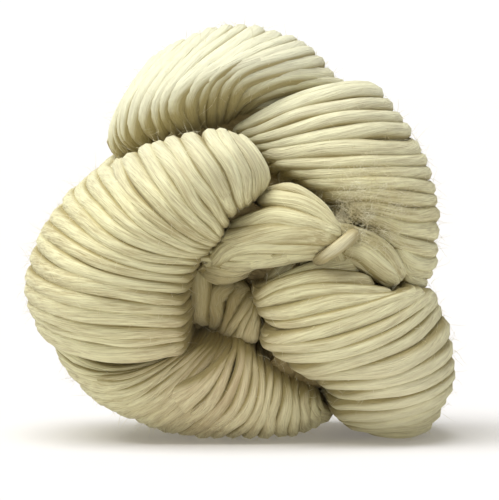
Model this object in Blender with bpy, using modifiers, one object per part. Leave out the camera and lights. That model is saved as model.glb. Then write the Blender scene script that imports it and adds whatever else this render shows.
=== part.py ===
"""A short, fat hank of chunky single-ply yarn, resting on its lower lobes, with the tie that pinches its inner loop.

The hank is one solid of its wound form. Its yarn lies in bundles: each rises out of a crease at the front, crosses
a crest and goes over a rim, and most go on round the side and sink into a long S-shaped seam at the back. A bundle
is a table of ribs, the courses that steer it, and its surface is worked out between them.
+Z is up, +X is to the right, the looped end faces -Y, and the origin is on the ground under the middle.
"""

import math
from collections import namedtuple

import bmesh
import bpy
import numpy as np

MM = 0.001

# Driving sizes, in millimetres and degrees.
HALF_DEPTH = 63.5          # from the middle to the furthest crest at the back
HUB = (0.0, 0.0, 60.0)     # the middle, where the bundles close behind their surface
CORE_RADII = (40.0, 37.0, 40.0)
CURL = 20.0                # by how much a bundle curls back under past its lip
ARCH_STEP = 10.0           # between the points of an arch
RIB_SPACING = 5.0
FUSED_WITHIN = 3.3         # how finely the bundles are fused into one solid
SMOOTHING = 6              # passes over the creases where they fuse
FACES_KEPT = 0.48          # share of the fused faces that the shape needs
GROUND_SIDE = 300.0
TIE_RADIUS = 1.9
TIE_POINTS = 17            # along its route
GAP = 0.3                  # between the tie and the hank
WELDED_WITHIN = 0.01       # points of a cap and of the side that it closes

# The seam at the back: an S laid over a slanted line, read from -1 at its upper end to +1 at its lower end.
SEAM_MIDDLE = (3.0, 61.0)  # x and z
SEAM_HALF_LENGTH = 46.0
SEAM_SLANT = -48.0         # from +X
SEAM_SWAY = 9.0
SEAM_DROP = 15.0           # how far the yarn sinks from the crest beside the seam
SEAM_TAPER = 0.5           # share of the depth that is lost at the ends of the seam
CREST_SHARE = 0.5          # where that crest lies between the rim and the seam

# A rib: its lip, where the yarn comes out of a crease, its crest and its rim, each (x, y, z) in millimetres, and
# how far along the seam it ends. A rib with None ends at its rim, in another crease at the front.
Rib = namedtuple("Rib", "lip crest rim seam")

UPPER_LEFT = (
    Rib((-30, 21, 95), (-27, 26, 105), (-20, 30, 109), -1.00),
    Rib((-35, 10, 90), (-33, 14, 102), (-25, 18, 112), -0.99),
    Rib((-36, 0, 86), (-37, 1, 98), (-28, 6, 112), -0.97),
    Rib((-36, -6, 83), (-38, -10.5, 94.5), (-29.5, -1.5, 111), -0.95),
    Rib((-30, -12, 85.5), (-33.5, -19.5, 99.5), (-23.5, -3, 115.5), -0.85),
    Rib((-23.5, -15, 87.5), (-26.5, -27, 101.5), (-17.5, -3.5, 119), -0.74),
    Rib((-17, -16.5, 89.5), (-19, -31.5, 103.5), (-10, -4.5, 122), -0.62),
    Rib((-11.5, -15, 91), (-11, -33.5, 106), (0.5, -5.5, 124), -0.48),
    Rib((-8, -13.5, 92), (-2, -33.5, 109), (14, -6, 121), -0.32),
    Rib((-5, -12.5, 92.5), (4, -32.5, 108.5), (23, -6, 116), -0.18),
    Rib((-2.5, -12, 93.5), (8.5, -29.5, 105.5), (27.5, -6.5, 110.5), -0.08),
    Rib((0, -10, 94), (14, -24, 101), (33, -4, 105.5), 0.0),
    Rib((3, -8, 93), (19, -19, 96), (37, 0, 100), 0.08),
)
UPPER_RIGHT = (
    Rib((-1, -18, 92.5), (20, -31.5, 102.5), (43, -7.5, 104.5), -0.02),
    Rib((2, -19.5, 91), (23.5, -36, 97.5), (47.5, -6.5, 98.5), 0.08),
    Rib((5, -21, 88.5), (27.5, -39, 92.5), (51.5, -6, 93), 0.18),
    Rib((7.5, -24, 85.5), (30.5, -41.5, 87.5), (54.5, -6, 87.5), 0.28),
    Rib((12.5, -27, 82), (34, -43.5, 82), (57.5, -6, 81.5), 0.38),
    Rib((20, -30, 76.5), (38, -45, 76), (59.5, -6, 74), 0.50),
    Rib((29, -30, 71), (41.5, -44.5, 69.5), (60.5, -5.5, 67), 0.62),
    Rib((33.5, -28.5, 65.5), (44, -42.5, 63.5), (60.5, -4.5, 59.5), 0.73),
    Rib((38, -28.5, 59), (46, -40.5, 56.5), (60, -4.5, 52.5), 0.84),
    Rib((44, -28.5, 51.5), (48.5, -36, 49.5), (57.5, -3.5, 46), 0.96),
)
LEFT = (
    Rib((7, -45, 72.5), (8.5, -48.5, 82), (0.5, -35.5, 92), None),
    Rib((3.5, -49.5, 70), (2.5, -57, 83), (-5, -36, 93.5), None),
    Rib((-1, -51, 67), (-7.5, -61.5, 80.5), (-15.5, -34.5, 92.5), None),
    Rib((-4.5, -51, 60.5), (-16.5, -63, 72.5), (-27.5, -28.5, 89.5), None),
    Rib((-8, -49.5, 56), (-26, -63.5, 65.5), (-40, -18, 82), -0.97),
    Rib((-11.5, -48, 52.5), (-34, -63.5, 57.5), (-53.5, -9, 71), -0.80),
    Rib((-14.5, -46.5, 44.5), (-38, -62.5, 48.5), (-62, -4.5, 57.5), -0.62),
    Rib((-14.5, -45, 37), (-40.5, -58.5, 37.5), (-65, -3, 44), -0.45),
    Rib((-14.5, -42, 29.5), (-38, -49.5, 26.5), (-62, -3, 33.5), -0.30),
)
LOWER_LEFT = (
    Rib((-16, -33, 28.5), (-36.5, -40.5, 22.5), (-56.5, -4.5, 27.5), -0.27),
    Rib((-16, -34.5, 26.5), (-36.5, -44.5, 19), (-53.5, -4.5, 21.5), -0.22),
    Rib((-15.5, -35.5, 27.5), (-34, -45.5, 15.5), (-48.5, -4.5, 15.5), -0.16),
    Rib((-14, -36, 27.5), (-30.5, -45.5, 12.5), (-42.5, -4.5, 10), -0.10),
    Rib((-12.5, -36.5, 27.5), (-24.5, -44.5, 10.5), (-35, -5.5, 6.5), -0.04),
    Rib((-9.5, -37.5, 27.5), (-17, -42, 10.5), (-28, -6, 3), 0.02),
    Rib((-5, -37.5, 26), (-11.5, -41.5, 10.5), (-23.5, -6.5, 1), 0.08),
)
LOWER_RIGHT = (
    Rib((-0.5, -36, 25.5), (-11.5, -48, 14.5), (-30, -9, 6.5), 0.08),
    Rib((0.5, -37.5, 28.5), (-4, -45, 11), (-20.5, -7.5, 1), 0.12),
    Rib((3.5, -37.5, 27.5), (-0.5, -45, 10.5), (-13, -7.5, -1), 0.17),
    Rib((6.5, -36.5, 26), (4, -45, 10), (-5, -7.5, -1.2), 0.22),
    Rib((10, -35.5, 23.5), (8.5, -44, 9.5), (2.5, -7.5, -1.2), 0.28),
    Rib((14, -33.5, 21), (13.5, -42, 9.5), (10, -7.5, -1.2), 0.33),
    Rib((17.5, -31.5, 18.5), (18.5, -39, 9.5), (17, -7.5, -0.5), 0.39),
    Rib((21.5, -28.5, 16.5), (22.5, -35.5, 10), (22.5, -7.5, 2), 0.44),
    Rib((23.5, -25.5, 15.5), (25, -30, 10), (26.5, -6.5, 4), 0.48),
)
RIGHT = (
    Rib((2.5, -39, 43.5), (18.5, -49.5, 51), (38, -42, 49), None),
    Rib((4, -42, 41), (23, -55.5, 47.5), (44.5, -42, 46), None),
    Rib((5, -42, 38), (26, -57.5, 42.5), (47.5, -39, 46), None),
    Rib((7, -42, 34.5), (29, -59.5, 38), (53, -33, 47), None),
    Rib((5.5, -40.5, 29.5), (31, -60, 33.5), (57.5, -24, 45), 0.98),
    Rib((9.5, -39, 25), (35, -60, 29.5), (59.5, -15, 42.5), 0.95),
    Rib((15.5, -36, 20.5), (38.5, -58.5, 25.5), (61.5, -9, 38), 0.90),
    Rib((20, -33, 18), (43, -57, 21.5), (64, -6, 31.5), 0.84),
    Rib((25, -30, 15.5), (45.5, -53.5, 16.5), (65, -4.5, 24.5), 0.77),
    Rib((28, -27, 11.5), (46, -48, 11.5), (65, -3.5, 17.5), 0.70),
    Rib((31, -22.5, 8), (46.5, -40.5, 7), (63.5, -3, 12), 0.64),
    Rib((35.5, -16.5, 4.5), (47.5, -30, 2), (59.5, -2.5, 4), 0.57),
    Rib((41, -10.5, 1.5), (49, -18, -1), (54, -1.5, -1.5), 0.50),
    Rib((30, -9, 9), (40, -8, 2), (47, 2, -1.5), 0.48),
    Rib((29, 0, 10), (34, 1, 5), (38, 8, 1), 0.46),
)
INNER = (
    Rib((11, -39, 75.5), (19, -49.5, 76), (29, -49.5, 64.5), None),
    Rib((7.5, -40.5, 72.5), (17, -53.5, 72), (29.5, -51, 63.5), None),
    Rib((3.5, -42, 69.5), (15.5, -55.5, 68.5), (29.5, -51.5, 62), None),
    Rib((-0.5, -42.5, 66.5), (14, -57, 65), (29.5, -52, 60.5), None),
    Rib((-2, -42, 62), (12.5, -56.5, 61), (28.5, -52, 59), None),
    Rib((-4, -40.5, 59), (10, -54, 57.5), (27.5, -51, 57.5), None),
    Rib((-6.5, -37.5, 56), (8.5, -49.5, 54), (25, -48, 54.5), None),
    Rib((-8.5, -33, 54.5), (-3.5, -42, 49.5), (7, -40.5, 52), None),
    Rib((-11, -30, 52), (-5, -37.5, 46.5), (3.5, -34.5, 49), None),
)
LINK = (
    Rib((29.5, -49.5, 64), (42.5, -45, 58.5), (49, -33, 47), None),
    Rib((29.5, -51, 62), (40, -47.5, 55.5), (48, -33.5, 46), None),
    Rib((29, -51, 59.5), (37, -48, 53), (47, -34.5, 45), None),
    Rib((28, -49.5, 57.5), (34, -45.5, 52), (44.5, -35.5, 45), None),
)
BUNDLES = {
    "upper_left": UPPER_LEFT,
    "upper_right": UPPER_RIGHT,
    "left": LEFT,
    "lower_left": LOWER_LEFT,
    "lower_right": LOWER_RIGHT,
    "right": RIGHT,
    "inner": INNER,
    "link": LINK,
}
# The tie's route over the inner loop, both ends tucked in behind it.
TIE_ROUTE = ((21.5, -46, 50), (24.5, -53, 53.5), (29, -56.5, 58), (33, -54.5, 61.5), (36, -47, 64))


def seam_point(along):
    """The seam's (x, y, z) in millimetres, where `along` runs from -1 to +1. Its y is that of the crests beside it."""
    slant = math.radians(SEAM_SLANT)
    run = SEAM_HALF_LENGTH * along
    sway = SEAM_SWAY * math.sin(math.pi * along)
    x = SEAM_MIDDLE[0] + run * math.cos(slant) - sway * math.sin(slant)
    z = SEAM_MIDDLE[1] + run * math.sin(slant) + sway * math.cos(slant)
    return np.array((x, HALF_DEPTH * (1 - SEAM_TAPER * abs(along) ** 3), z))


def arch(start, crest, end, degrees):
    """Points of one arch: it rises from start to crest as a quarter ellipse in y, and falls to end as another."""
    angles = np.radians(degrees)[:, None]
    along, lift = np.sin(angles), np.cos(angles)
    route = crest + along * (end - start) / 2 + along * along * ((end + start) / 2 - crest)
    foot = np.where(along < 0, start[1], end[1])
    route[:, 1:2] = foot + (crest[1] - foot) * lift
    return route


def front_arch(rib):
    return arch(rib.lip, rib.crest, rib.rim, np.arange(-90 - CURL, 91, ARCH_STEP))


def back_arch(rib):
    end = seam_point(rib.seam)
    crest = rib.rim + (end - rib.rim) * CREST_SHARE
    crest[1] = end[1]
    end[1] -= SEAM_DROP
    return arch(rib.rim, crest, end, np.arange(-90, 91 + CURL, ARCH_STEP))


def through(knots, values, at):
    """A smooth curve through the values at the knots, read at the places asked for."""
    slopes = np.gradient(values, knots, axis=0)
    i = np.clip(np.searchsorted(knots, at, side="right") - 1, 0, len(knots) - 2)
    width = (knots[i + 1] - knots[i])[:, None]
    t = (at - knots[i])[:, None] / width
    start = values[i] * (1 + 2 * t) * (1 - t) ** 2 + slopes[i] * width * t * (1 - t) ** 2
    return start + values[i + 1] * t * t * (3 - 2 * t) - slopes[i + 1] * width * t * t * (1 - t)


def spread(ribs, spacing):
    """Ribs at an even spacing across a bundle's crest, worked out from its table."""
    crests = np.array([rib.crest for rib in ribs], float)
    knots = np.concatenate([[0], np.cumsum(np.linalg.norm(np.diff(crests, axis=0), axis=1))])
    places = np.linspace(0, knots[-1], round(knots[-1] / spacing) + 1)
    flat = np.array([rib.lip + rib.crest + rib.rim for rib in ribs], float)
    seams = np.array([np.nan if rib.seam is None else rib.seam for rib in ribs])
    ends = np.interp(places, knots, seams)
    rows = through(knots, flat, places)
    return [
        Rib(row[:3], row[3:6], row[6:], None if np.isnan(end) else end) for row, end in zip(rows, ends)
    ]


def add_sheet(bm, arches):
    """One closed body: the sheet that the arches span, closed behind by a fan to the hub."""
    grid = [[bm.verts.new(point * MM) for point in route] for route in arches]
    hub = bm.verts.new(np.array(HUB) * MM)
    for row, after in zip(grid, grid[1:]):
        for corners in zip(row, row[1:], after[1:], after):
            bm.faces.new(corners)
    border = grid[0] + [row[-1] for row in grid[1:-1]] + grid[-1][::-1] + [row[0] for row in grid[-2:0:-1]]
    for first, second in zip(border, border[1:] + border[:1]):
        bm.faces.new((second, first, hub))


def material(name, colour, roughness):
    made = bpy.data.materials.new(name)
    made.use_nodes = True
    shader = made.node_tree.nodes["Principled BSDF"]
    shader.inputs["Base Color"].default_value = colour
    shader.inputs["Roughness"].default_value = roughness
    shader.inputs["Metallic"].default_value = 0.0
    return made


def place(name, data, collection):
    made = bpy.data.objects.new(name, data)
    collection.objects.link(made)
    return made


def as_cutter(helper):
    helper.hide_render = True
    helper.display_type = "WIRE"
    return helper


def cut(target, name, cutter):
    boolean = target.modifiers.new(name, "BOOLEAN")
    boolean.operation = "DIFFERENCE"
    boolean.object = cutter


def build_hank(collection):
    """The bundles and a core, overlapping, fused into one body."""
    bm = bmesh.new()
    for ribs in BUNDLES.values():
        courses = spread(ribs, RIB_SPACING)
        add_sheet(bm, [front_arch(rib) for rib in courses])
        behind = [back_arch(rib) for rib in courses if rib.seam is not None]
        if behind:
            add_sheet(bm, behind)
    core = bmesh.ops.create_uvsphere(bm, u_segments=32, v_segments=16, radius=1)
    bmesh.ops.scale(bm, vec=np.array(CORE_RADII) * MM, verts=core["verts"])
    bmesh.ops.translate(bm, vec=np.array(HUB) * MM, verts=core["verts"])
    mesh = bpy.data.meshes.new("hank")
    bm.to_mesh(mesh)
    bm.free()
    hank = place("hank", mesh, collection)
    fuse = hank.modifiers.new("fuse", "REMESH")
    fuse.mode = "VOXEL"
    fuse.voxel_size = FUSED_WITHIN * MM
    fuse.use_smooth_shade = True
    soften = hank.modifiers.new("soften", "SMOOTH")
    soften.factor = 0.5
    soften.iterations = SMOOTHING
    thin = hank.modifiers.new("thin out", "DECIMATE")
    thin.ratio = FACES_KEPT
    return hank


def tie_curve(name, radius, collection):
    """A length of yarn along the tie's route, closed at both ends."""
    route = np.array(TIE_ROUTE)
    knots = np.arange(len(route), dtype=float)
    points = through(knots, route, np.linspace(0, knots[-1], TIE_POINTS)) * MM
    curve = bpy.data.curves.new(name, "CURVE")
    curve.dimensions = "3D"
    curve.bevel_depth = radius * MM
    curve.bevel_resolution = 3
    curve.use_fill_caps = True
    spline = curve.splines.new("POLY")
    spline.points.add(len(points) - 1)
    for point, where in zip(spline.points, points):
        point.co = (*where, 1)
    return place(name, curve, collection)


def as_mesh(curve_object, collection):
    """The curve's tube as a mesh with its caps welded on, in place of the curve."""
    graph = bpy.context.evaluated_depsgraph_get()
    mesh = bpy.data.meshes.new_from_object(curve_object.evaluated_get(graph))
    bm = bmesh.new()
    bm.from_mesh(mesh)
    bmesh.ops.remove_doubles(bm, verts=bm.verts, dist=WELDED_WITHIN * MM)
    bm.to_mesh(mesh)
    bm.free()
    name = curve_object.name
    bpy.data.objects.remove(curve_object)
    return place(name, mesh, collection)


def build_ground(collection):
    """What the hank is pressed flat against: everything below z = 0 is cut away."""
    bm = bmesh.new()
    bmesh.ops.create_cube(bm, size=GROUND_SIDE * MM)
    bmesh.ops.translate(bm, vec=(0, 0, -GROUND_SIDE * MM / 2), verts=bm.verts)
    mesh = bpy.data.meshes.new("ground")
    bm.to_mesh(mesh)
    bm.free()
    return as_cutter(place("ground", mesh, collection))


def main():
    for old in list(bpy.data.objects):
        bpy.data.objects.remove(old)
    parts = bpy.data.collections.new("hank_of_yarn")
    cutters = bpy.data.collections.new("cutters")
    bpy.context.scene.collection.children.link(parts)
    bpy.context.scene.collection.children.link(cutters)

    hank = build_hank(parts)
    hank.data.materials.append(material("yarn", (0.80, 0.74, 0.56, 1), 0.95))
    cut(hank, "flat underside", build_ground(cutters))
    channel = as_mesh(tie_curve("tie_channel", TIE_RADIUS + GAP, cutters), cutters)
    cut(hank, "channel for the tie", as_cutter(channel))
    tie = as_mesh(tie_curve("tie", TIE_RADIUS, parts), parts)
    tie.data.materials.append(material("tie_yarn", (0.83, 0.78, 0.62, 1), 0.95))
    tie.data.shade_smooth()


main()
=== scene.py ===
"""The looks of a short, fat hank of chunky single-ply yarn: its strands, its tie and its loose fibres."""

import math
from collections import namedtuple

import bmesh
import bpy
import numpy as np
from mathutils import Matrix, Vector
from mathutils.bvhtree import BVHTree


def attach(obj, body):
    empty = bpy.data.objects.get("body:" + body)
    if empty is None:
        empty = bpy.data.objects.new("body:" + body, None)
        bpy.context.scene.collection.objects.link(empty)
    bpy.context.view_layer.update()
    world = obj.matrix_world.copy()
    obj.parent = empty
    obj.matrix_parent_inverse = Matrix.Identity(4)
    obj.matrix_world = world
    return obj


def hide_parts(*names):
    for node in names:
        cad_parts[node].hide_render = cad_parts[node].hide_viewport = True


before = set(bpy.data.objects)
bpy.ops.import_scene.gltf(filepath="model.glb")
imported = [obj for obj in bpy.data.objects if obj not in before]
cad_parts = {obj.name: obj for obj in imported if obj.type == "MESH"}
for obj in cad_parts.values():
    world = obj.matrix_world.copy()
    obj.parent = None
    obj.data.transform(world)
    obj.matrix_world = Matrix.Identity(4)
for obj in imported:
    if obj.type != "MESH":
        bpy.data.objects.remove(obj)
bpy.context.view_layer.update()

# --------------------------------------------------------------------------------------------------
# The bundles. One long strand of chunky single-ply wool was wound into a ring and twisted until the ring
# doubled up. Its turns now lie in eight bundles, which rise out of a crease and go over a rim, most of
# them to a seam at the back. Only the twist and the tie hold them.

MM = 0.001  # the bundles are laid out in millimetres
HALF_DEPTH = 63.5  # of the hank, to the furthest crest at the back
HUB = np.array((0.0, 0.0, 60.0))  # the middle of the hank, where the strands come from and go back to
SEAM_MIDDLE = (3.0, 61.0)  # the seam at the back is an S along a slanted line: x and z
SEAM_HALF_LENGTH = 46.0
SEAM_SLANT = -48.0  # degrees
SEAM_SWAY = 9.0  # how far the S swings out from its line
SEAM_DROP = 15.0  # how far the strands sink in at the seam
SEAM_TAPER = 0.5  # how much shallower the back is at the seam's ends, as a share
CREST_SHARE = 0.5  # how far from the rim to the seam the crest at the back lies, as a share
ROOT_RUN = np.array((6.0, 12.0, 18.0, 25.0, 33.0))  # how far in the points lie at both ends of a strand
INWARDS = np.array((0.4, 1.0, 0.4))  # how much of the way to the hub they take in x, y and z
ARCH_STEP = 10.0  # degrees

# A rib steers a bundle: its lip, its crest and its rim, each (x, y, z) on the bundle's surface, and how far
# along the seam it ends. A rib with None ends past its rim, in another crease at the front.
Rib = namedtuple("Rib", "lip crest rim seam")

UPPER_LEFT = (
    Rib((-36, -6, 83), (-38.5, -10, 94), (-27, -1.5, 113), -0.93),
    Rib((-31, -12, 85), (-35, -18.5, 98.5), (-18.5, -3, 118.5), -0.80),
    Rib((-25, -15, 87), (-29, -26, 101.5), (-10, -4.5, 122), -0.66),
    Rib((-18.5, -16.5, 89), (-21.5, -31, 104), (0, -5.5, 124), -0.52),
    Rib((-13, -16, 90.5), (-13.5, -33.5, 106.5), (9, -6, 122.5), -0.40),
    Rib((-9, -14.5, 91.5), (-5, -33.5, 109), (17.5, -6, 119.5), -0.27),
    Rib((-5, -13, 92.5), (2.5, -32.5, 109), (24, -6, 115.5), -0.17),
    Rib((-2.5, -12, 93.5), (8.5, -29.5, 105.5), (27.5, -6.5, 110.5), -0.08),
    Rib((0, -10, 94), (14, -24, 101), (33, -4, 105.5), 0.0),
    Rib((3, -8, 93), (19, -19, 96), (37, 0, 100), 0.08),
)
UPPER_RIGHT = (
    Rib((-2.5, -20, 90.5), (20, -31.5, 102.5), (43, -7.5, 104.5), -0.02),
    Rib((0, -23, 88.5), (23.5, -36, 97.5), (47.5, -6.5, 98.5), 0.08),
    Rib((3, -26, 86), (27.5, -39, 92.5), (51.5, -6, 93), 0.18),
    Rib((6, -29, 83), (30.5, -41.5, 87.5), (54.5, -6, 87.5), 0.28),
    Rib((11, -32, 79.5), (34, -43.5, 82), (57.5, -6, 81.5), 0.38),
    Rib((18.5, -34, 74), (38, -45, 76), (59.5, -6, 74), 0.50),
    Rib((27.5, -34, 68.5), (41.5, -44.5, 69.5), (60.5, -5.5, 67), 0.62),
    Rib((32.5, -32, 63), (44, -42.5, 63.5), (60.5, -4.5, 59.5), 0.73),
    Rib((38, -28.5, 59), (46, -40.5, 56.5), (60, -4.5, 52.5), 0.84),
    Rib((44, -28.5, 51.5), (48.5, -36, 49.5), (57.5, -3.5, 46), 0.96),
)
LEFT = (
    Rib((7, -45, 72.5), (8.5, -48.5, 82), (0.5, -35.5, 92), None),
    Rib((3.5, -49.5, 70), (2.5, -57, 83), (-5, -36, 93.5), None),
    Rib((-1, -51, 67), (-7.5, -61.5, 80.5), (-15.5, -34.5, 92.5), None),
    Rib((-4.5, -51, 60.5), (-16.5, -63, 72.5), (-27.5, -28.5, 89.5), None),
    Rib((-8, -49.5, 56), (-26, -63.5, 65.5), (-40, -18, 82), -0.97),
    Rib((-11.5, -48, 52.5), (-34, -63.5, 57.5), (-53.5, -9, 71), -0.80),
    Rib((-14.5, -46.5, 44.5), (-38, -62.5, 48.5), (-62, -4.5, 57.5), -0.62),
    Rib((-14.5, -45, 37), (-40.5, -58.5, 37.5), (-65, -3, 44), -0.45),
    Rib((-14.5, -41, 28.5), (-38, -48, 25), (-61.5, -3, 32.5), -0.30),
)
LOWER_LEFT = (
    Rib((-17, -34, 29), (-36.5, -41.5, 22.5), (-56.5, -4.5, 27.5), -0.27),
    Rib((-14, -34, 30), (-36, -44.5, 19), (-53.5, -4.5, 21.5), -0.22),
    Rib((-11.5, -34, 30.5), (-33, -45.5, 16), (-48.5, -4.5, 15.5), -0.16),
    Rib((-9, -34.5, 31), (-29, -46, 13.5), (-42.5, -4.5, 10), -0.10),
    Rib((-6.5, -34.5, 31), (-23, -46, 12), (-35, -5.5, 6.5), -0.04),
    Rib((-4, -34.5, 31), (-16, -45, 11.5), (-28, -6, 3), 0.02),
    Rib((-1.5, -34.5, 30.5), (-10.5, -43.5, 11), (-23.5, -6.5, 1), 0.08),
)
LOWER_RIGHT = (
    Rib((-3, -35, 30), (-12.5, -48, 15), (-30, -9, 6.5), 0.08),
    Rib((0, -36, 31), (-5, -46, 12), (-20.5, -7.5, 1), 0.12),
    Rib((3.5, -36.5, 29.5), (-0.5, -45.5, 11), (-13, -7.5, -1), 0.17),
    Rib((6.5, -36.5, 26), (4, -45, 10), (-5, -7.5, -1.2), 0.22),
    Rib((10, -35.5, 23.5), (8.5, -44, 9.5), (2.5, -7.5, -1.2), 0.28),
    Rib((14, -33.5, 21), (13.5, -42, 9.5), (10, -7.5, -1.2), 0.33),
    Rib((17.5, -31.5, 18.5), (18.5, -39, 9.5), (17, -7.5, -0.5), 0.39),
    Rib((21.5, -28.5, 16.5), (22.5, -35.5, 10), (22.5, -7.5, 2), 0.44),
    Rib((23.5, -25.5, 15.5), (25, -30, 10), (26.5, -6.5, 4), 0.48),
)
RIGHT = (
    Rib((8, -33, 50), (20.5, -41.5, 58), (33.5, -38.5, 57.5), None),
    Rib((5.5, -36, 47), (20.5, -46.5, 54.5), (35.5, -42, 54.5), None),
    Rib((3.5, -39, 45), (19.5, -50.5, 52.5), (38, -43, 51), None),
    Rib((4, -42, 41), (23, -55.5, 47.5), (44.5, -42, 46), None),
    Rib((5, -42, 38), (26, -57.5, 42.5), (47.5, -39, 46), None),
    Rib((7, -42, 34.5), (29, -59.5, 38), (53, -33, 47), None),
    Rib((5.5, -40.5, 29.5), (31, -60, 33.5), (57.5, -24, 45), 0.98),
    Rib((9.5, -39, 25), (35, -60, 29.5), (59.5, -15, 42.5), 0.95),
    Rib((15.5, -36, 20.5), (38.5, -58.5, 25.5), (61.5, -9, 38), 0.90),
    Rib((20, -33, 18), (43, -57, 21.5), (64, -6, 31.5), 0.84),
    Rib((25, -30, 15.5), (45.5, -53.5, 16.5), (65, -4.5, 24.5), 0.77),
    Rib((26.5, -29, 10), (46, -48, 11), (65, -3.5, 17.5), 0.70),
    Rib((28, -25, 6), (45.5, -41, 6), (63.5, -3, 12), 0.64),
    Rib((32, -19, 3), (46, -31, 1.8), (59.5, -2.5, 4), 0.57),
    Rib((38, -12, 1), (48, -19, -1), (54, -1.5, -1.5), 0.50),
)
INNER = (
    Rib((6, -38, 74.5), (18.5, -49, 75.5), (30.5, -49, 65), None),
    Rib((3.5, -39, 72), (17.5, -53.5, 72), (31.5, -51, 63), None),
    Rib((-0.5, -40, 68), (16, -55.5, 68.5), (31, -51.5, 61.5), None),
    Rib((-4.5, -41, 65), (14, -57, 65), (30.5, -52, 60), None),
    Rib((-7, -41, 61), (12, -56.5, 61), (29.5, -52, 58.5), None),
    Rib((-9, -40, 57.5), (9.5, -54, 57.5), (28, -51, 57), None),
    Rib((-11, -37.5, 54.5), (8, -50, 54), (25.5, -48.5, 54.5), None),
    Rib((-11.5, -34, 54), (-4, -42.5, 49.5), (7, -40.5, 52), None),
    Rib((-13, -31, 51.5), (-5.5, -38, 46.5), (3.5, -34.5, 49), None),
)
LINK = (
    Rib((28, -47.5, 64), (42.5, -45, 58.5), (49, -33, 47), None),
    Rib((27.5, -48.5, 62), (40, -47.5, 55.5), (48, -33.5, 46), None),
    Rib((27, -48.5, 59), (37, -48, 53), (47, -34.5, 45), None),
    Rib((26, -47.5, 56.5), (34, -45.5, 52), (44.5, -35.5, 45), None),
)
# Short strands that cross the hollow, seen between the lips of the other bundles.
HOLLOW = (
    Rib((-13, -26, 56), (-15, -33, 46), (-15, -26, 33), None),
    Rib((-9, -28, 55), (-11.5, -36, 46), (-12, -28, 33), None),
    Rib((-5, -27, 50), (-7.5, -34, 42.5), (-9.5, -26, 32), None),
    Rib((0, -27, 49), (-3.5, -34, 42), (-7, -25, 31), None),
    Rib((5, -31, 45), (-0.5, -37, 39), (-5, -27, 30), None),
    Rib((6, -34, 42), (3, -39, 36), (0.5, -30, 28), None),
)
# For each bundle, its ribs, how far apart its strands lie on the crest, and how far it rolls over into the
# crease beside its first and its last rib. The upper left bundle shows its end at the back, where its turns
# close in on a line inside them: that takes so many courses. Two ends lie sunk under their own bundles, and
# show only past the edges that those have at the back.
Bundle = namedtuple("Bundle", "ribs pitch first_flank last_flank whorl sunk", defaults=(0, 0))
BUNDLES = {
    "upper_left": Bundle(UPPER_LEFT, 4.5, 12, 0, whorl=18),
    "upper_right": Bundle(UPPER_RIGHT, 4.7, 13, 10),
    "left": Bundle(LEFT, 4.8, 17, 10),
    "left_end": Bundle(LEFT[4:6], 3.9, 15, 0, sunk=1.5),
    "lower_left": Bundle(LOWER_LEFT, 3.9, 8, 8),
    "lower_right": Bundle(LOWER_RIGHT, 4.1, 6, 12),
    "right": Bundle(RIGHT, 5.4, 10, 10),
    "right_end": Bundle(RIGHT[6:8], 4.5, 15, 0, sunk=1.5),
    "inner": Bundle(INNER, 4.8, 7, 4),
    "link": Bundle(LINK, 4.4, 3, 4),
    "hollow": Bundle(HOLLOW, 3.6, 4, 4),
}
FLANK_RADIUS = 5.0
FLANK_TIGHTEST = 0.25  # the least that a flank's roll is drawn in to, as a share
WHORL_ENDS = 0.2  # how far from its ends the line stays that a whorl closes in on, as a share
WHORL_DOME = 3.0  # how far a whorl stands out in the middle
WHORL_TURN = 0.3  # how much a whorl still turns with the edge that it closes, as a share
WIDTH_SPREAD = 0.24  # how much the strands differ in thickness, as a share
NARROWEST, WIDEST = 0.6, 1.5
WANDER = 1.0  # how far a strand strays sideways
SINK = 0.8  # how far a strand dips in and out
STACKING = 1.8  # how far crowded strands slip under their neighbours
LAYER = 2.4  # how far the strands of the second layer lie under those of the first
FULLNESS = 0.64  # radius for each millimetre between strands: they press on each other
THINNEST, THICKEST = 1.1, 3.7  # radii that the soft yarn can be pressed or swell to
FLOOR_GAP = 0.2
KNOT_SPACING = 3  # arch steps between changes of a strand's course
POINTS_PER_STEP = 5  # in a strand's final route
SURFACE_WEIGHT = 0.6  # of a surface's own direction in a strand's way out, where that from the hub has 1


def seam_point(along):
    """A point of the seam, where `along` runs from -1 to +1. Its y is that of the crests beside it."""
    slant = math.radians(SEAM_SLANT)
    run = SEAM_HALF_LENGTH * along
    sway = SEAM_SWAY * math.sin(math.pi * along)
    x = SEAM_MIDDLE[0] + run * math.cos(slant) - sway * math.sin(slant)
    z = SEAM_MIDDLE[1] + run * math.sin(slant) + sway * math.cos(slant)
    return np.array((x, HALF_DEPTH * (1 - SEAM_TAPER * abs(along) ** 3), z))


def arch(start, crest, end, degrees):
    """One arch: in y it rises from start to crest as a quarter ellipse, and falls to end as another."""
    angles = np.radians(degrees)[:, None]
    along, lift = np.sin(angles), np.cos(angles)
    route = crest + along * (end - start) / 2 + along * along * ((end + start) / 2 - crest)
    foot = np.where(along < 0, start[1], end[1])
    route[:, 1:2] = foot + (crest[1] - foot) * lift
    return route


def eased(values, passes=3):
    """The same values with each one drawn towards its neighbours, so that two arches join smoothly."""
    for _ in range(passes):
        values[1:-1] = (values[:-2] + 2 * values[1:-1] + values[2:]) / 4
    return values


def unit(vectors):
    return vectors / (np.linalg.norm(vectors, axis=-1, keepdims=True) + 1e-9)


def gaps(points):
    """How far each point lies from the one before it."""
    return np.linalg.norm(np.diff(points, axis=0), axis=1)


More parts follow.
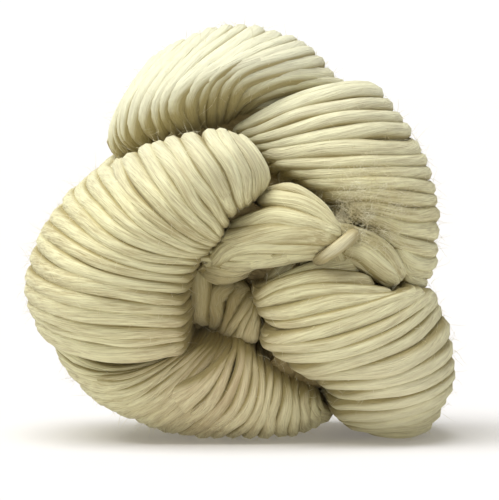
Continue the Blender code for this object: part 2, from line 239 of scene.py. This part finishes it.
def through(knots, values, at):
    """A smooth curve through the values at the knots, read at the places asked for."""
    slopes = np.gradient(values, knots, axis=0)
    knot = np.clip(np.searchsorted(knots, at, side="right") - 1, 0, len(knots) - 2)
    width = (knots[knot + 1] - knots[knot])[:, None]
    share = (at - knots[knot])[:, None] / width
    left = values[knot] * (1 + 2 * share) + slopes[knot] * width * share
    right = values[knot + 1] * (3 - 2 * share) - slopes[knot + 1] * width * (1 - share)
    return left * (1 - share) ** 2 + right * share**2


def root(point):
    """A strand's way from a point on the surface into the hank."""
    return point + np.outer(ROOT_RUN, unit((HUB - point) * INWARDS))


def course(lip, crest, rim, seam):
    """The way over a bundle's surface along one rib: out to its lip, over, and back in at its end."""
    half_turn = np.arange(-90, 91, ARCH_STEP)
    front = arch(lip, crest, rim, half_turn)
    if seam is None:
        return eased(np.concatenate([root(lip)[::-1], front, root(rim)]))
    end = seam_point(seam)
    far_crest = rim + (end - rim) * CREST_SHARE
    far_crest[1] = end[1]
    end[1] -= SEAM_DROP
    back = arch(rim, far_crest, end, half_turn[1:])
    return eased(np.concatenate([root(lip)[::-1], front, back, root(end)]))


def ways_out(grid):
    """Which way is out at each point of a grid of courses, found at the crests and followed both ways."""
    normals = np.cross(np.gradient(grid, axis=0), np.gradient(grid, axis=1))
    crest = len(ROOT_RUN) + round(90 / ARCH_STEP)
    normals *= np.sign((normals[:, crest] * (grid[:, crest] - HUB)).sum())
    for steps in (range(crest + 1, grid.shape[1]), range(crest - 1, -1, -1)):
        for step in steps:
            beside = step - np.sign(step - crest)
            turned = (normals[:, step] * normals[:, beside]).sum(axis=1) < 0
            normals[turned, step] *= -1
    return unit(eased(unit(normals)))


def flank(grid, normals, length):
    """Courses beyond a bundle's first edge, a millimetre apart: they roll over from its surface, drawn in
    where its own courses converge, and then go straight down the side of the crease."""
    edge, beside = grid[0], grid[2]
    reach = np.linalg.norm(edge - beside, axis=1) / 2
    reach = eased(np.clip(reach, FLANK_TIGHTEST, 1)[:, None], passes=4)
    outward = unit(eased(normals[0].copy(), passes=8))
    across = unit(eased(unit(edge - beside), passes=8))
    across = unit(across - outward * (across * outward).sum(axis=1, keepdims=True))
    distance = np.arange(length, 0, -1)[:, None, None]
    turns = np.minimum(distance / FLANK_RADIUS, math.pi / 2)
    rolled = across * np.sin(turns) - outward * (1 - np.cos(turns))
    deeper = distance - turns * FLANK_RADIUS
    points = edge + rolled * reach * FLANK_RADIUS - outward * deeper
    return points, outward * np.cos(turns) + across * np.sin(turns)


def whorl(edge, normals, count):
    """Courses that close a bundle's end: each lies nearer to a line from where its edge comes out of the
    hank to where it goes back in."""
    first, last = len(ROOT_RUN), len(edge) - len(ROOT_RUN) - 1
    along = edge[last] - edge[first]
    share = (edge - edge[first]) @ along / (along @ along)
    share = np.clip(share, WHORL_ENDS, 1 - WHORL_ENDS)[:, None]
    shift = edge[first] + share * along - edge
    shift[:first], shift[last + 1 :] = shift[first], shift[last]
    nearer = np.arange(count, 0, -1)[:, None, None] / (count + 0.5)
    facing = unit(eased(normals[first : last + 1].mean(axis=0) + normals * WHORL_TURN, passes=6))
    dome = np.sin(nearer * math.pi / 2) * WHORL_DOME
    return edge + shift * nearer + facing * dome, np.repeat(facing[None], count, axis=0)


def surface(bundle):
    """A bundle's surface as courses about a millimetre apart: their points, the way out at each, and how
    many points each course has of its own."""
    ribs = bundle.ribs
    apart = (gaps([rib.crest for rib in ribs]) + gaps([rib.rim for rib in ribs])) / 2
    knots = np.concatenate([[0], np.cumsum(apart)])
    places = np.linspace(0, knots[-1], round(knots[-1]) + 1)
    rows = through(knots, np.array([rib.lip + rib.crest + rib.rim for rib in ribs], float), places)
    seams = np.interp(places, knots, [np.nan if rib.seam is None else rib.seam for rib in ribs])
    courses = [
        course(row[:3], row[3:6], row[6:], None if np.isnan(seam) else seam)
        for row, seam in zip(rows, seams)
    ]
    lengths = np.array([len(points) for points in courses])
    grid = np.empty((len(courses), lengths.max(), 3))
    for step in range(lengths.max()):  # a short course takes the points it lacks from the nearest long one
        long_enough = np.flatnonzero(lengths > step)
        nearest = long_enough[np.abs(long_enough[:, None] - np.arange(len(courses))).argmin(axis=0)]
        grid[:, step] = [courses[row][step] for row in nearest]
    normals = ways_out(grid)
    before = flank(grid, normals, bundle.first_flank)
    closing = whorl(before[0][0], before[1][0], bundle.whorl)
    after = [part[::-1] for part in flank(grid[::-1], normals[::-1], bundle.last_flank)]
    points, normals = map(np.concatenate, zip(closing, before, (grid, normals), after))
    added = (bundle.whorl + bundle.first_flank, bundle.last_flank)
    return points, normals, np.pad(lengths, added, mode="edge")


def wavering(chance, count):
    """Smooth random values for the steps of a course, mostly between -1 and 1."""
    knots = chance.normal(0, 0.6, count // KNOT_SPACING + 2)
    return eased(np.interp(np.arange(count) / KNOT_SPACING, np.arange(len(knots)), knots), passes=2)


def lay_out(bundle, chance, below):
    """A bundle's strands, each as its centre line, its radii and the ways that face out of the hank."""
    grid, normals, lengths = surface(bundle)
    span = len(grid) - 1
    count = round(span / bundle.pitch) + 1
    widths = np.clip(chance.normal(1, WIDTH_SPREAD, count), NARROWEST, WIDEST)
    middles = np.cumsum(widths) - widths / 2
    middles = (middles - middles[0]) / (middles[-1] - middles[0]) * span
    spacing = np.linalg.norm(np.gradient(grid, axis=0), axis=2)
    strands = []
    for width, middle in zip(widths, middles):
        steps = np.arange(lengths[round(middle)])
        at = np.clip(middle + WANDER * wavering(chance, len(steps)), 0, span)
        row = np.minimum(at.astype(int), span - 1)
        share = (at - row)[:, None]
        place = grid[row, steps] * (1 - share) + grid[row + 1, steps] * share
        normal = normals[row, steps] * (1 - share) + normals[row + 1, steps] * share
        pitch = bundle.pitch * width * eased(spacing[row, steps])
        radius = np.clip(FULLNESS * pitch, THINNEST, THICKEST)
        crowding = np.clip(1 - pitch / (2 * THINNEST), 0, 1)
        dip = SINK * (0.5 + 0.5 * wavering(chance, len(steps)))
        depth = radius + dip + STACKING * chance.random() * crowding
        outward = SURFACE_WEIGHT * unit(normal) + unit(place - HUB)
        place = place - normal * (depth + below)[:, None]
        place[:, 2] = np.maximum(place[:, 2], radius + FLOOR_GAP)
        strands.append((place, radius, outward))
    return strands


class Socket:
    """A number that runs through a node tree, so that a sum on it can be written as a sum."""

    def __init__(self, nodes, socket):
        self.nodes, self.socket = nodes, socket

    def math(self, operation, first, second=0.0):
        return self.nodes.add("ShaderNodeMath", {"operation": operation}, {0: first, 1: second})

    def __add__(self, other):
        return self.math("ADD", self, other)

    def __radd__(self, other):
        return self.math("ADD", other, self)

    def __sub__(self, other):
        return self.math("SUBTRACT", self, other)

    def __rsub__(self, other):
        return self.math("SUBTRACT", other, self)

    def __mul__(self, other):
        return self.math("MULTIPLY", self, other)

    def __rmul__(self, other):
        return self.math("MULTIPLY", other, self)

    def __truediv__(self, other):
        return self.math("DIVIDE", self, other)

    def __rtruediv__(self, other):
        return self.math("DIVIDE", other, self)

    def cosine(self):
        return self.math("COSINE", self)

    def sine(self):
        return self.math("SINE", self)

    def rounded(self):
        return self.math("ROUND", self)

    def kept(self):
        """The number held between 0 and 1."""
        return self.math("MINIMUM", self.math("MAXIMUM", self, 0.0), 1.0)


class Nodes:
    """A node tree, of a material, of the world or of Geometry Nodes, and one way to add any node to it."""

    def __init__(self, tree):
        self.tree = tree

    def add(self, kind, settings=None, inputs=None, out=0):
        """A new node with its settings and then its inputs, which are values or sockets. Returns its
        output, or a tuple of them if out lists several."""
        node = self.tree.nodes.new(kind)
        for name, value in (settings or {}).items():
            setattr(node, name, value)
        for key, value in (inputs or {}).items():
            self.feed(node.inputs[key], value)
        if not node.outputs:
            return None
        if isinstance(out, tuple):
            return tuple(Socket(self, node.outputs[key]) for key in out)
        return Socket(self, node.outputs[out])

    def feed(self, socket, value):
        if isinstance(value, Socket):
            self.tree.links.new(value.socket, socket)
        elif socket.type == "RGBA":
            socket.default_value = (*value, 1)
        else:
            socket.default_value = value

    def vector(self, operation, first, second, out=0):
        return self.add("ShaderNodeVectorMath", {"operation": operation}, {0: first, 1: second}, out)

    def distance(self, first, second):
        return self.vector("DISTANCE", first, second, out=1)

    def scaled(self, vector, factor):
        return self.add("ShaderNodeVectorMath", {"operation": "SCALE"}, {0: vector, "Scale": factor})

    def noise(self, vector, scale, detail, out=0):
        inputs = {"Vector": vector, "Scale": scale, "Detail": detail}
        return self.add("ShaderNodeTexNoise", inputs=inputs, out=out)

    def blend(self, share, first, second):
        """One colour laid over another by a share."""
        return self.add("ShaderNodeMix", {"data_type": "RGBA"}, {0: share, 6: first, 7: second}, out=2)


def new_tree(name, inputs):
    """A Geometry Nodes tree with named inputs, each given by its usual value or, for a geometry or a
    material, by its kind of socket. Returns the tree, its nodes and its input sockets."""
    tree = bpy.data.node_groups.new(name, "GeometryNodeTree")
    kinds = {float: "NodeSocketFloat", int: "NodeSocketInt"}
    for label, value in inputs.items():
        kind = value if isinstance(value, str) else kinds[type(value)]
        made = tree.interface.new_socket(label, in_out="INPUT", socket_type=kind)
        if kind != value:
            made.default_value = value
    tree.interface.new_socket("Result", in_out="OUTPUT", socket_type="NodeSocketGeometry")
    nodes = Nodes(tree)
    return tree, nodes, nodes.add("NodeGroupInput", out=tuple(range(len(inputs))))


def strand_tree():
    """Lays a soft, round strand along every line of a wire mesh, whose points hold its radius, its number
    and the way out of the hank. It stores how far along and round the strand each point is, its place in
    the twisted fibres, and how far it faces out."""
    tree, nodes, sockets = new_tree(
        "lay strands",
        {
            "Routes": "NodeSocketGeometry",
            "Yarn": "NodeSocketMaterial",
            "Segment length": 1.9 * MM,
            "Sides": 9,
            "Fibre turn": 220 * MM,
            "Fibre shift": 1.37,
            "Lump height": 0.2 * MM,
            "Lump length": 10.0 * MM,
        },
    )
    routes, wool, segment, sides, turn, shift, height, length = sockets

    def stored(geometry, name, value, kind="FLOAT"):
        settings = {"data_type": kind, "domain": "POINT"}
        inputs = {"Geometry": geometry, "Name": name, "Value": value}
        return nodes.add("GeometryNodeStoreNamedAttribute", settings, inputs)

    def read(name, kind="FLOAT"):
        return nodes.add("GeometryNodeInputNamedAttribute", {"data_type": kind}, {"Name": name})

    lines = nodes.add("GeometryNodeMeshToCurve", inputs={"Mesh": routes})
    lines = nodes.add("GeometryNodeResampleCurve", {"mode": "LENGTH"}, {"Curve": lines, "Length": segment})
    share, metres = nodes.add("GeometryNodeSplineParameter", out=("Factor", "Length"))
    lines = stored(lines, "along", metres)
    ring = nodes.add("GeometryNodeCurvePrimitiveCircle", inputs={"Resolution": sides, "Radius": 1.0})
    ring = stored(ring, "round", share)
    radius = read("thickness")
    strands = nodes.add(
        "GeometryNodeCurveToMesh",
        inputs={"Curve": lines, "Profile Curve": ring, "Scale": radius, "Fill Caps": True},
    )
    angle = (read("round") + read("along") / turn) * (2 * math.pi)
    across, upright = angle.cosine(), angle.sine()
    along = read("along") + read("strand") * shift
    place = nodes.add("ShaderNodeCombineXYZ", inputs={0: along, 1: radius * across, 2: radius * upright})
    strands = stored(strands, "fibre", place, "FLOAT_VECTOR")
    normal = nodes.add("GeometryNodeInputNormal")
    # How far each point faces out of the hank, which the yarn's painted crease shade reads.
    facing = nodes.vector("DOT_PRODUCT", normal, read("outward", "FLOAT_VECTOR"), out=1)
    strands = stored(strands, "facing", facing)
    stretched = nodes.add("ShaderNodeCombineXYZ", inputs={0: along / length, 1: across, 2: upright})
    lumps = nodes.noise(stretched, scale=1.0, detail=1.0)
    push = nodes.scaled(normal, (lumps - 0.5) * 2 * height)
    strands = nodes.add("GeometryNodeSetPosition", inputs={"Geometry": strands, "Offset": push})
    strands = nodes.add("GeometryNodeSetShadeSmooth", inputs={"Geometry": strands})
    strands = nodes.add("GeometryNodeRealizeInstances", inputs={"Geometry": strands})
    strands = nodes.add("GeometryNodeSetMaterial", inputs={"Geometry": strands, "Material": wool})
    nodes.add("NodeGroupOutput", inputs={0: strands})
    return tree


def wire(name, strands):
    """A mesh of lines along the strands' centre lines, with what the strand tree needs at each point."""
    routes = []
    for number, (place, radius, outward) in enumerate(strands):
        steps = np.arange(len(place), dtype=float)
        rows = np.column_stack([place, radius, outward])
        rows = through(steps, rows, np.linspace(0, steps[-1], POINTS_PER_STEP * len(place)))
        routes.append(np.column_stack([rows, np.full(len(rows), number)]))
    rows = np.concatenate(routes)
    ends = np.cumsum([len(route) for route in routes])
    starts = np.setdiff1d(np.arange(len(rows)), ends - 1)
    mesh = bpy.data.meshes.new(name)
    mesh.from_pydata(rows[:, :3] * MM, np.column_stack([starts, starts + 1]), [])
    mesh.attributes.new("thickness", "FLOAT", "POINT").data.foreach_set("value", rows[:, 3] * MM)
    outward = unit(rows[:, 4:7]).ravel()
    mesh.attributes.new("outward", "FLOAT_VECTOR", "POINT").data.foreach_set("vector", outward)
    mesh.attributes.new("strand", "FLOAT", "POINT").data.foreach_set("value", rows[:, 7])
    return mesh


def placed(name, data):
    """A new object at the origin, in the scene."""
    made = bpy.data.objects.new(name, data)
    bpy.context.scene.collection.objects.link(made)
    return made


def made_by(tree, name, mesh, values):
    """The result of a Geometry Nodes tree on a mesh, as an object with a plain mesh."""
    source = placed(name + "_source", mesh)
    modifier = source.modifiers.new(tree.name, "NODES")
    modifier.node_group = tree
    for item in tree.interface.items_tree:
        if item.in_out == "INPUT" and item.name in values:
            modifier[item.identifier] = values[item.name]
    graph = bpy.context.evaluated_depsgraph_get()
    result = bpy.data.meshes.new_from_object(source.evaluated_get(graph))
    bpy.data.objects.remove(source)
    result.name = name
    return placed(name, result)


STRIP_EDGE = 0.04  # how far a strand keeps from the edge of its strip of the UV map, as a share


def unroll(piece):
    """A UV map with each strand as one straight strip, since a strand is a tube."""
    mesh = piece.data

    def values_of(name):
        found = np.empty(len(mesh.vertices), np.float32)
        mesh.attributes[name].data.foreach_get("value", found)
        return found

    corners = np.empty(len(mesh.loops), np.int32)
    mesh.loops.foreach_get("vertex_index", corners)
    sizes = np.empty(len(mesh.polygons), np.int32)
    mesh.polygons.foreach_get("loop_total", sizes)
    starts = np.cumsum(sizes) - sizes
    turn = values_of("round")[corners]
    closes_ring = np.maximum.reduceat(turn, starts) - np.minimum.reduceat(turn, starts) > 0.5
    turn = turn + np.repeat(closes_ring, sizes) * (turn < 0.5)
    strip = np.round(values_of("strand")[corners])
    along = values_of("along")
    lengthwise = along[corners] / along.max()
    crosswise = (strip + STRIP_EDGE + (1 - 2 * STRIP_EDGE) * turn) / (strip.max() + 1)
    layer = mesh.uv_layers.new(name="OFBake")
    layer.data.foreach_set("uv", np.column_stack([lengthwise, crosswise]).ravel())


class Finish(Nodes):
    """A material with one plain surface, whose inputs are given by name."""

    def __init__(self, name):
        self.material = bpy.data.materials.new(name)
        self.material.use_nodes = True
        super().__init__(self.material.node_tree)

    def bump(self, height, distance):
        inputs = {"Strength": 1.0, "Distance": distance, "Height": height}
        return self.add("ShaderNodeBump", inputs=inputs)

    def surface(self, **inputs):
        for name, value in inputs.items():
            self.feed(self.tree.nodes["Principled BSDF"].inputs[name.replace("_", " ")], value)
        return self.material


# Places where the yarn has another colour: a peach tint, and painted highlight, fill light and shade.
# It has its full strength up to one distance from the place, and has faded out at another.
Patch = namedtuple("Patch", "place full fades strength colour")
TONE_AND_LIGHT_PATCHES = (
    Patch((-24, -20, 104), 0, 50, 0.45, (0.95, 0.95, 0.72)),  # painted highlight at the top left
    Patch((-6, -40, 22), 0, 34, 0.4, (0.78, 0.55, 0.36)),  # a peach tinge under the hollow
    Patch((50, -50, 12), 0, 45, 0.6, (0.92, 0.86, 0.60)),  # painted fill light at the lower right
    Patch((-5, -34, 40), 4.8, 20.8, 0.6, (0.44, 0.35, 0.13)),  # painted shade deep in the hollow
)
TOP_LIGHT_FROM, TOP_LIGHT_FULL_AT = 70, 120  # heights over which a painted highlight from above grows
TOP_LIGHT_COLOUR, TOP_LIGHT_STRENGTH = (0.89, 0.91, 0.76), 0.5
EVENLY_PALE = 0.61  # from the shade at 0 to the pale colour at 1
COARSE_FIBRES, FINE_FIBRES, CLOUDS, EACH_STRAND = 1.6, 1.9, 0.8, 0.35  # how much these change it
CREASE_FACING = 0.77  # painted shade: the yarn is browner where it faces out of the hank less than this
CREASE_SHARPNESS, CREASE_RAGGEDNESS = 3.4, 0.8
CREASE_SHADE_STRENGTH = 0.85


def yarn(name, shade, pale, painted_shade):
    """Undyed single ply: long fibres that lie along the strand with a slight turn. Painted highlight makes
    it paler higher up and in patches; painted shade makes it browner in the creases and the hollow."""
    wool = Finish(name)
    fibre = wool.add("ShaderNodeAttribute", {"attribute_name": "fibre"}, out="Vector")
    facing = wool.add("ShaderNodeAttribute", {"attribute_name": "facing"}, out="Fac")
    strand = wool.add("ShaderNodeAttribute", {"attribute_name": "strand"}, out="Fac")
    place = wool.add("ShaderNodeTexCoord", out="Object")

    def streaks(length, width):
        stretched = wool.vector("MULTIPLY", fibre, (1 / length, 1 / width, 1 / width))
        return wool.noise(stretched, scale=1.0, detail=2.0)

    coarse = streaks(length=14 * MM, width=0.9 * MM)
    fine = streaks(length=7 * MM, width=0.28 * MM)
    cloudy = wool.noise(place, scale=32.0, detail=2.0)
    own = wool.add("ShaderNodeTexWhiteNoise", {"noise_dimensions": "1D"}, {"W": strand.rounded()})
    paleness = EVENLY_PALE + (coarse - 0.5) * COARSE_FIBRES + (fine - 0.5) * FINE_FIBRES
    paleness = paleness + (cloudy - 0.5) * CLOUDS + (own - 0.5) * EACH_STRAND
    colour = wool.blend(paleness.kept(), shade, pale)
    # A painted highlight: the yarn is painted paler the higher it lies, towards the light from above.
    height = wool.add("ShaderNodeSeparateXYZ", inputs={0: place}, out="Z")
    top_light_share = (height - TOP_LIGHT_FROM * MM) / ((TOP_LIGHT_FULL_AT - TOP_LIGHT_FROM) * MM)
    colour = wool.blend(top_light_share.kept() * TOP_LIGHT_STRENGTH, colour, TOP_LIGHT_COLOUR)
    # Patches of painted highlight, fill light and shade, and one peach tint.
    for patch in TONE_AND_LIGHT_PATCHES:
        away = wool.distance(place, tuple(Vector(patch.place) * MM))
        near = (patch.fades * MM - away) / ((patch.fades - patch.full) * MM)
        colour = wool.blend(near.kept() * patch.strength, colour, patch.colour)
    # Painted shade in the creases: browner where a strand faces out of the hank less.
    crease_shade_share = (CREASE_FACING - facing) * CREASE_SHARPNESS + (coarse - 0.5) * CREASE_RAGGEDNESS
    colour = wool.blend(crease_shade_share.kept() * CREASE_SHADE_STRENGTH, colour, painted_shade)
    return wool.surface(
        Base_Color=colour,
        Roughness=0.95 - fine * 0.2,
        Normal=wool.bump(fine * 0.6 + coarse * 0.4, 0.75 * MM),
        Sheen_Weight=0.15,
        Sheen_Roughness=0.45,
        Sheen_Tint=(0.98, 1.0, 0.84),
    )


STRANDS = strand_tree()
# The last colour of each yarn is painted shade, for the creases between strands.
YARN = yarn("yarn", shade=(0.50, 0.42, 0.21), pale=(0.86, 0.82, 0.50), painted_shade=(0.35, 0.275, 0.092))
SECOND_LAYER = {"Sides": 6, "Segment length": 3.2 * MM}
chance = np.random.default_rng(41)
for bundle_name, bundle in BUNDLES.items():
    for ending, below, detail in (("", 0.0, {}), ("_under", LAYER, SECOND_LAYER)):
        name = bundle_name + ending
        routes = wire(name, lay_out(bundle, chance, bundle.sunk + below))
        piece = made_by(STRANDS, name, routes, {"Yarn": YARN, **detail})
        unroll(piece)
        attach(piece, "root")
        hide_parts("hank")

# --------------------------------------------------------------------------------------------------
# The turns inside. Under the strands that show lie many more, pressed together. They are one body here, a
# little way below the surface, seen only between the strands and in the hollow, darkened by painted shade.

BELOW = 10.5 * MM
DEEPEST_SHARE = 0.4  # of the hank's thickness at any point
JOINED_WITHIN = 0.01 * MM
SMOOTHING_ROUNDS = 3
BANDS_PER_METRE = (60, 500, 500)  # in x, y and z


def hank_copy():
    """A copy of the CAD hank as one closed shape, its loose triangles joined."""
    shape = bmesh.new()
    shape.from_mesh(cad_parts["hank"].data)
    bmesh.ops.remove_doubles(shape, verts=shape.verts, dist=JOINED_WITHIN)
    return shape


def finished(shape, name):
    """The mesh of a shape that needs no more work."""
    mesh = bpy.data.meshes.new(name)
    shape.to_mesh(mesh)
    shape.free()
    return mesh


def shaded_inside_wool():
    """Wool darkened by painted shade, in bands that run from side to side like turns."""
    wool = Finish("shaded_inside_wool")
    place = wool.add("ShaderNodeTexCoord", out="Object")
    bands = wool.noise(wool.vector("MULTIPLY", place, BANDS_PER_METRE), scale=1.0, detail=2.0)
    # Both tones are painted shade: this wool is darker than the yarn above it.
    return wool.surface(
        Base_Color=wool.blend(bands, (0.30, 0.22, 0.085), (0.54, 0.44, 0.22)),
        Roughness=0.95,
        Normal=wool.bump(bands, 2.0 * MM),
    )


turns = hank_copy()
turns.normal_update()
skin = BVHTree.FromBMesh(turns)
moves = []
for vertex in turns.verts:
    thickness = skin.ray_cast(vertex.co - vertex.normal * MM, -vertex.normal)[3] or 0
    moves.append(vertex.normal * -min(BELOW, DEEPEST_SHARE * thickness))
for vertex, move in zip(turns.verts, moves):
    vertex.co += move
every_way = {"use_axis_x": True, "use_axis_y": True, "use_axis_z": True}
for _ in range(SMOOTHING_ROUNDS):
    bmesh.ops.smooth_vert(turns, verts=turns.verts, factor=0.5, **every_way)
inside = placed("turns_inside", finished(turns, "turns_inside"))
inside.data.materials.append(shaded_inside_wool())
inside.data.shade_smooth()
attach(inside, "root")
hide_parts("hank")

# --------------------------------------------------------------------------------------------------
# The tie. A short length of the same yarn goes over the inner loop and back in behind it, drawn tight, and
# gathers the loop's strands to a waist.

TIE_ROUTE = (
    (23.0, -42, 54.2),
    (23.4, -47.5, 54.6),
    (24.8, -51.5, 55.6),
    (27.4, -53.9, 57.4),
    (30.0, -53.7, 59.3),
    (32.2, -51.3, 60.9),
    (33.2, -47, 61.6),
    (33.4, -42, 61.8),
)
TIE_RADIUS = 1.95
TIE_OUTWARD = (0.0, -1.0, 0.2)
# Its last colour too is painted shade, for the creases between strands.
TIE_YARN = yarn("tie_yarn", shade=(0.52, 0.45, 0.25), pale=(0.84, 0.78, 0.52), painted_shade=(0.44, 0.36, 0.17))
TIE_DETAIL = {"Sides": 16, "Segment length": 0.6 * MM}

tie_points = len(TIE_ROUTE)
tie_strand = (np.array(TIE_ROUTE), np.full(tie_points, TIE_RADIUS), np.tile(TIE_OUTWARD, (tie_points, 1)))
tie = made_by(STRANDS, "tie_strand", wire("tie_strand", [tie_strand]), {"Yarn": TIE_YARN, **TIE_DETAIL})
unroll(tie)
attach(tie, "root")
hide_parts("tie")

# --------------------------------------------------------------------------------------------------
# Loose fibres. Single ply isn't held by a twist of plies, so fine hairs stand off all over it. They lie
# densest in the crease to the right of the tie, where the yarn has rubbed and begun to felt.

FELTED = (0.036, -0.042, 0.069)  # the middle of the felted place


def fuzz_tree():
    """Grows bent hairs out of a surface: straight hairs that lean at random, each then bent by noise."""
    tree, nodes, sockets = new_tree(
        "grow hairs",
        {
            "Body": "NodeSocketGeometry",
            "Fibre": "NodeSocketMaterial",
            "Hairs per square metre": 50000.0,
            "Hairs where felted": 4500000.0,
            "Felted reach": 17 * MM,
            "Hair length": 4.5 * MM,
            "Shortest": 0.4,
            "Longest": 1.3,
            "Points": 5,
            "Sides": 3,
            "Thickness": 0.045 * MM,
            "Share at root": 1.15,
            "Stray": 3 * MM,
            "Bends per metre": 160.0,
            "Stand": 0.15,
            "Rooted below": 0.8 * MM,
            "Heap where felted": 4.5 * MM,
            "Lowest": 0.1 * MM,
            "Seed": 7,
        },
    )
    body, fibre, sparse, dense, reach, *rest = sockets
    length, shortest, longest, points, sides, thickness, at_root, *rest = rest
    stray, bends, stand, below, heap, lowest, seed = rest
    place = nodes.add("GeometryNodeInputPosition")
    felted = (1 - nodes.distance(place, FELTED) / reach).kept()
    roots, normal = nodes.add(
        "GeometryNodeDistributePointsOnFaces",
        {"distribute_method": "RANDOM"},
        {"Mesh": body, "Density": sparse + dense * felted, "Seed": seed},
        out=(0, 1),
    )
    sunk = nodes.scaled(normal, felted * heap - below)
    roots = nodes.add("GeometryNodeSetPosition", inputs={"Geometry": roots, "Offset": sunk})
    span = {0: (-1, -1, -1), 1: (1, 1, 1), "Seed": seed}
    any_way = nodes.add("FunctionNodeRandomValue", {"data_type": "FLOAT_VECTOR"}, span)
    lean = nodes.vector("ADD", any_way, nodes.scaled(normal, stand))
    turn = nodes.add("FunctionNodeAlignRotationToVector", {"axis": "Z"}, {"Vector": lean})
    sizes = {2: shortest, 3: longest, "Seed": seed + 1}
    size = nodes.add("FunctionNodeRandomValue", {"data_type": "FLOAT"}, sizes, out=1)
    tip = nodes.add("ShaderNodeCombineXYZ", inputs={0: 0.0, 1: 0.0, 2: length})
    hair = nodes.add("GeometryNodeCurvePrimitiveLine", inputs={"Start": (0, 0, 0), "End": tip})
    hair = nodes.add("GeometryNodeResampleCurve", {"mode": "COUNT"}, {"Curve": hair, "Count": points})
    hairs = nodes.add(
        "GeometryNodeInstanceOnPoints",
        inputs={"Points": roots, "Instance": hair, "Rotation": turn, "Scale": size},
    )
    hairs = nodes.add("GeometryNodeRealizeInstances", inputs={"Geometry": hairs})
    along = nodes.add("GeometryNodeSplineParameter", out="Factor")
    any_bend = nodes.noise(place, scale=bends, detail=1.0, out="Color")
    bend = nodes.scaled(nodes.vector("SUBTRACT", any_bend, (0.5, 0.5, 0.5)), along * stray * 2)
    hairs = nodes.add("GeometryNodeSetPosition", inputs={"Geometry": hairs, "Offset": bend})
    # No hair goes into the floor. A metre is beyond the hank, so that only the height is held.
    floor_level = nodes.add("ShaderNodeCombineXYZ", inputs={0: -1.0, 1: -1.0, 2: lowest})
    held = nodes.vector("MAXIMUM", place, floor_level)
    hairs = nodes.add("GeometryNodeSetPosition", inputs={"Geometry": hairs, "Position": held})
    ring = nodes.add("GeometryNodeCurvePrimitiveCircle", inputs={"Resolution": sides, "Radius": thickness})
    hairs = nodes.add(
        "GeometryNodeCurveToMesh",
        inputs={"Curve": hairs, "Profile Curve": ring, "Scale": at_root - along, "Fill Caps": True},
    )
    hairs = nodes.add("GeometryNodeSetShadeSmooth", inputs={"Geometry": hairs})
    hairs = nodes.add("GeometryNodeSetMaterial", inputs={"Geometry": hairs, "Material": fibre})
    nodes.add("NodeGroupOutput", inputs={0: hairs})
    return tree


def hair_wool():
    """Single fibres, some of them nearly white."""
    wool = Finish("hair")
    place = wool.add("ShaderNodeTexCoord", out="Object")
    tone = wool.noise(place, scale=220.0, detail=1.0)
    colour = wool.blend(((tone - 0.35) * 3).kept(), (0.72, 0.64, 0.38), (0.95, 0.92, 0.72))
    return wool.surface(Base_Color=colour, Roughness=0.7)


fuzz = made_by(fuzz_tree(), "fuzz", finished(hank_copy(), "fuzz"), {"Fibre": hair_wool()})
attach(fuzz, "root")
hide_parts("hank")

# --------------------------------------------------------------------------------------------------
# The studio: a floor of pale paper that glows a little, soft light from above on the left, and a camera a
# little above the floor.

PAPER_HALF_SIDE = 6.0
corners = [(x * PAPER_HALF_SIDE, y * PAPER_HALF_SIDE, 0) for x, y in ((-1, -1), (1, -1), (1, 1), (-1, 1))]
floor_mesh = bpy.data.meshes.new("floor")
floor_mesh.from_pydata(corners, [], [(0, 1, 2, 3)])
paper = Finish("paper").surface(
    Base_Color=(0.64, 0.635, 0.64),
    Roughness=0.9,
    Emission_Color=(1.0, 0.95, 0.88),
    Emission_Strength=0.16,
)
floor_mesh.materials.append(paper)
floor = placed("floor", floor_mesh)

KEY_FROM = Vector((-0.30, -0.12, 0.94))
key = bpy.data.lights.new("key", "SUN")
key.energy = 3.7
key.angle = math.radians(60)
key.color = (1.0, 0.99, 0.97)
placed("key", key).rotation_euler = KEY_FROM.to_track_quat("Z", "Y").to_euler()

# The room is bright near the floor, for a white background, and dimmer overhead.
ROOM = {"From Min": 0.02, "From Max": 0.18, "To Min": 1.05, "To Max": 0.28}
world = bpy.data.worlds.new("studio")
world.use_nodes = True
bpy.context.scene.world = world
room = Nodes(world.node_tree)
direction = room.add("ShaderNodeTexCoord", out="Generated")
up = room.add("ShaderNodeSeparateXYZ", inputs={0: direction}, out="Z")
backdrop = world.node_tree.nodes["Background"]
room.feed(backdrop.inputs["Color"], (1.0, 1.0, 1.0))
room.feed(backdrop.inputs["Strength"], room.add("ShaderNodeMapRange", inputs={"Value": up, **ROOM}))

CAMERA_AT = Vector((3.15, 0.0, 55.3)) * MM  # what it looks at
CAMERA_DISTANCE = 1.8
CAMERA_LENS = 434.0
CAMERA_HEIGHT = math.radians(2.4)  # above the floor, seen from what it looks at
camera = bpy.data.cameras.new("camera")
camera.lens = CAMERA_LENS
camera_object = placed("camera", camera)
towards = Vector((0, -math.cos(CAMERA_HEIGHT), math.sin(CAMERA_HEIGHT)))
camera_object.location = CAMERA_AT + towards * CAMERA_DISTANCE
camera_object.rotation_euler = towards.to_track_quat("Z", "Y").to_euler()
bpy.context.scene.camera = camera_object
bpy.context.scene.view_settings.view_transform = "Standard"
